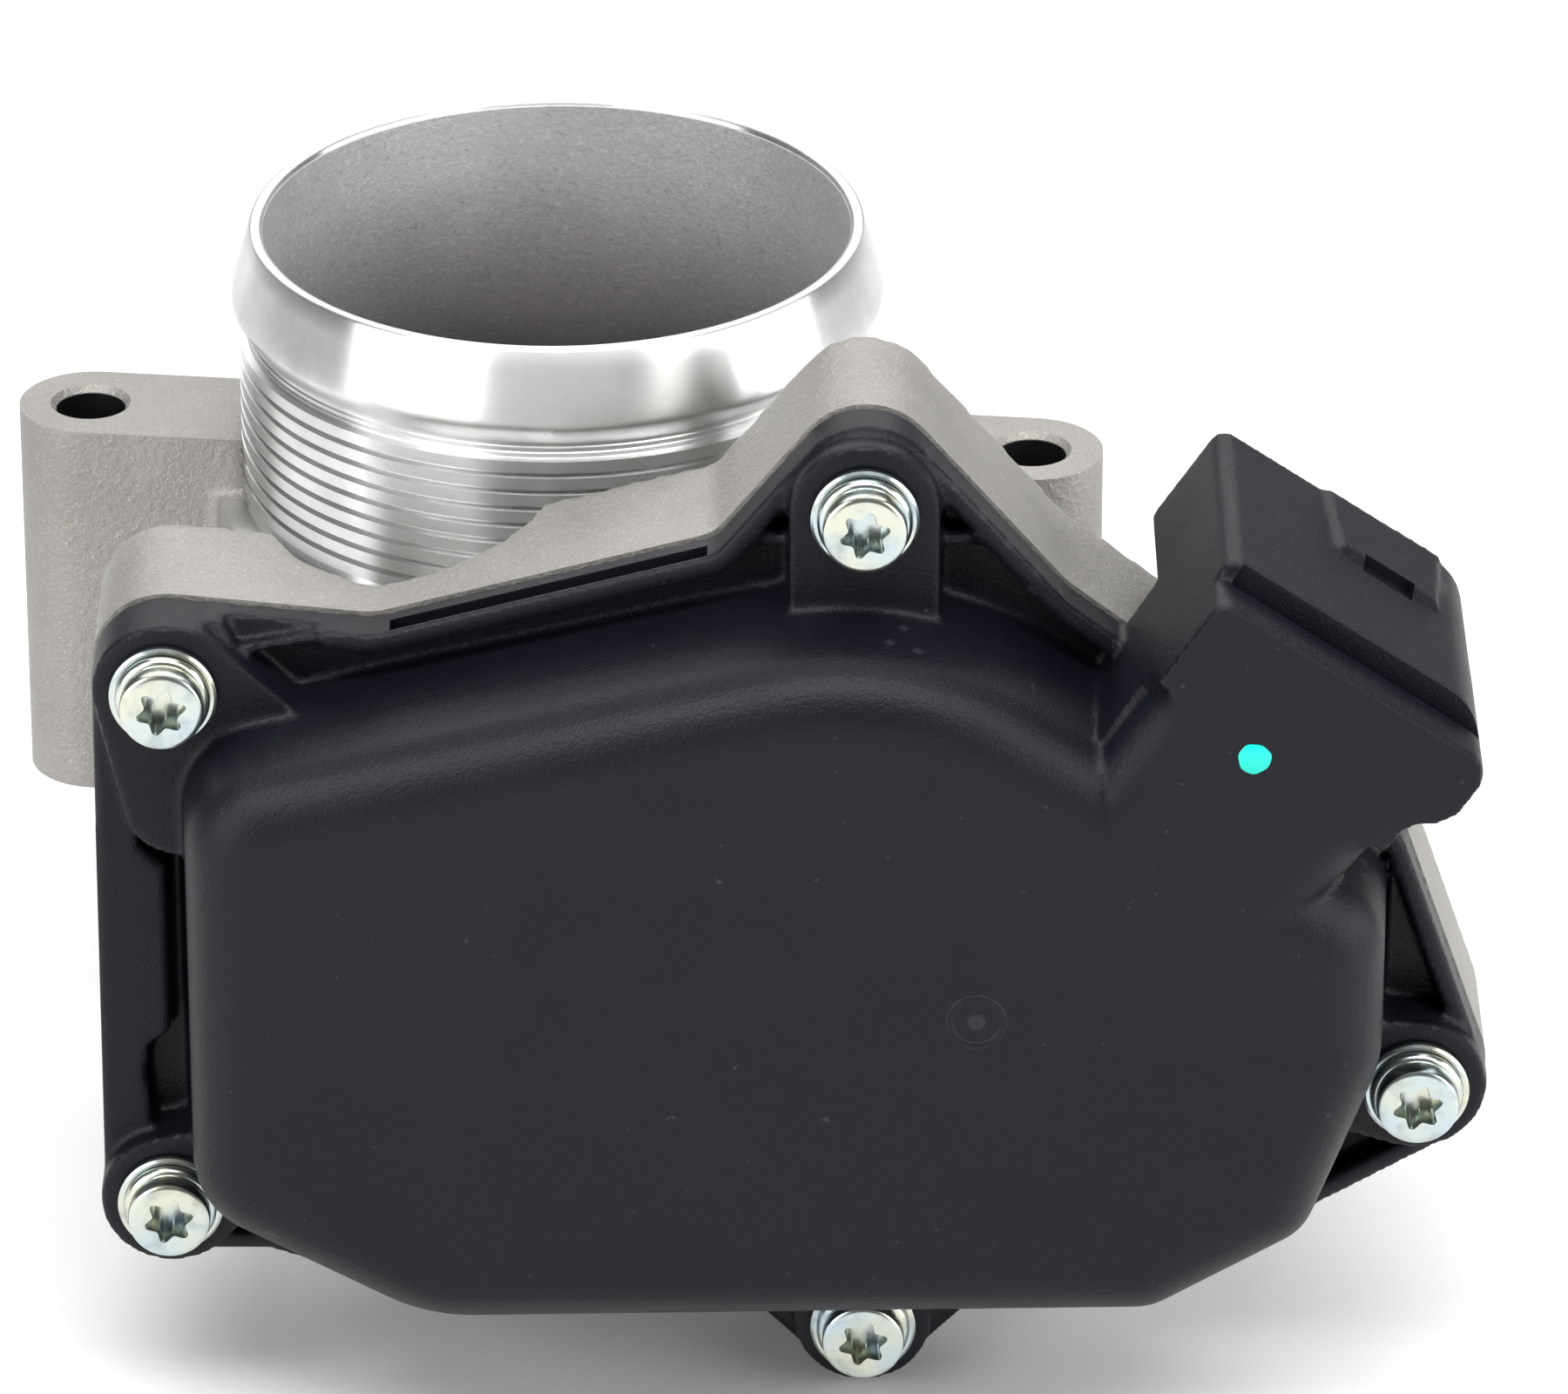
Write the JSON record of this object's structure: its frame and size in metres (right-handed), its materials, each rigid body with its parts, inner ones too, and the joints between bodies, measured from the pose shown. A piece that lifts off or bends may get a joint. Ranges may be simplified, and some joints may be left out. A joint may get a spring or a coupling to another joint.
{
  "type": "throttle body",
  "caption": "Electronic throttle body: cast bore with a butterfly plate, three bolt lugs, a beaded hose spigot, and a covered motor and gear drive with a wiring connector.",
  "frame": {"origin": "bore axis at the lower mounting face", "axes": "+Z along the bore towards the hose spigot, -Y towards the gear cover, +X towards the motor and connector"},
  "size_m": [0.1419, 0.1191, 0.1005],
  "materials": {
    "cast_aluminium": "as cast, matte and slightly grainy; bore, spigot and faces turned bright",
    "black_plastic": "satin moulded glass-filled nylon",
    "zinc_plate": "bright yellowish zinc plate",
    "steel": "ground or drawn steel",
    "brass": "rolled or machined brass",
    "gold_plate": "thin gold plate on copper alloy",
    "black_rubber": "matte moulded rubber",
    "natural_plastic": "satin natural acetal",
    "circuit_board": "green solder mask"
  },
  "bodies": {
    "housing": {"cover_gasket": "black_rubber", "cover_screw_1": "zinc_plate", "cover_screw_2": "zinc_plate", "cover_screw_3": "zinc_plate", "cover_screw_4": "zinc_plate", "cover_screw_5": "zinc_plate", "flat_washer_1": "zinc_plate", "flat_washer_2": "zinc_plate", "flat_washer_3": "zinc_plate", "flat_washer_4": "zinc_plate", "flat_washer_5": "zinc_plate", "front_bearing": "steel", "front_shaft_seal": "black_rubber", "gearbox_cover": "black_plastic", "intermediate_axle": "steel", "lock_washer_1": "zinc_plate", "lock_washer_2": "zinc_plate", "lock_washer_3": "zinc_plate", "lock_washer_4": "zinc_plate", "lock_washer_5": "zinc_plate", "motor_bracket": "steel", "motor_can": "steel", "motor_contact_1": "brass", "motor_contact_2": "brass", "motor_screw_1": "zinc_plate", "motor_screw_2": "zinc_plate", "motor_wave_washer": "steel", "rear_bearing": "steel", "rear_bore_plug": "steel", "rear_shaft_seal": "black_rubber", "return_spring": "steel", "sensor_board": "circuit_board", "spring_bush": "natural_plastic", "terminal_1": "gold_plate", "terminal_2": "gold_plate", "terminal_3": "gold_plate", "terminal_4": "gold_plate", "terminal_5": "gold_plate", "throttle_body_casting": "cast_aluminium"},
    "throttle": {"throttle_shaft": "steel", "throttle_plate": "brass", "plate_screw_1": "steel", "plate_screw_2": "steel", "sector_gear": "natural_plastic", "sensor_rotor": "brass"},
    "intermediate": {"intermediate_gear": "natural_plastic"},
    "rotor": {"motor_shaft": "steel", "motor_pinion": "brass"}
  },
  "joints": [
    {"name": "throttle_turn", "type": "hinge", "parent": "housing", "child": "throttle", "pos_m": [0, 0, 0.01], "axis": [0, -1, 0], "range_deg": [0, 85], "stiffness_Nm_per_rad": 0.1, "springref_deg": -22.92},
    {"name": "intermediate_turn", "type": "hinge", "parent": "housing", "child": "intermediate", "pos_m": [0.03538, 0, 0.01663], "axis": [0, -1, 0], "range_deg": [-300, 0]},
    {"name": "rotor_turn", "type": "hinge", "parent": "housing", "child": "rotor", "pos_m": [0.063, 0, 0.012], "axis": [0, -1, 0], "range_deg": [0, 1100]}
  ],
  "couplings": [
    {"joint": "intermediate_turn", "follows": "throttle_turn", "ratio": -3.5},
    {"joint": "rotor_turn", "follows": "throttle_turn", "ratio": 12.833}
  ]
}
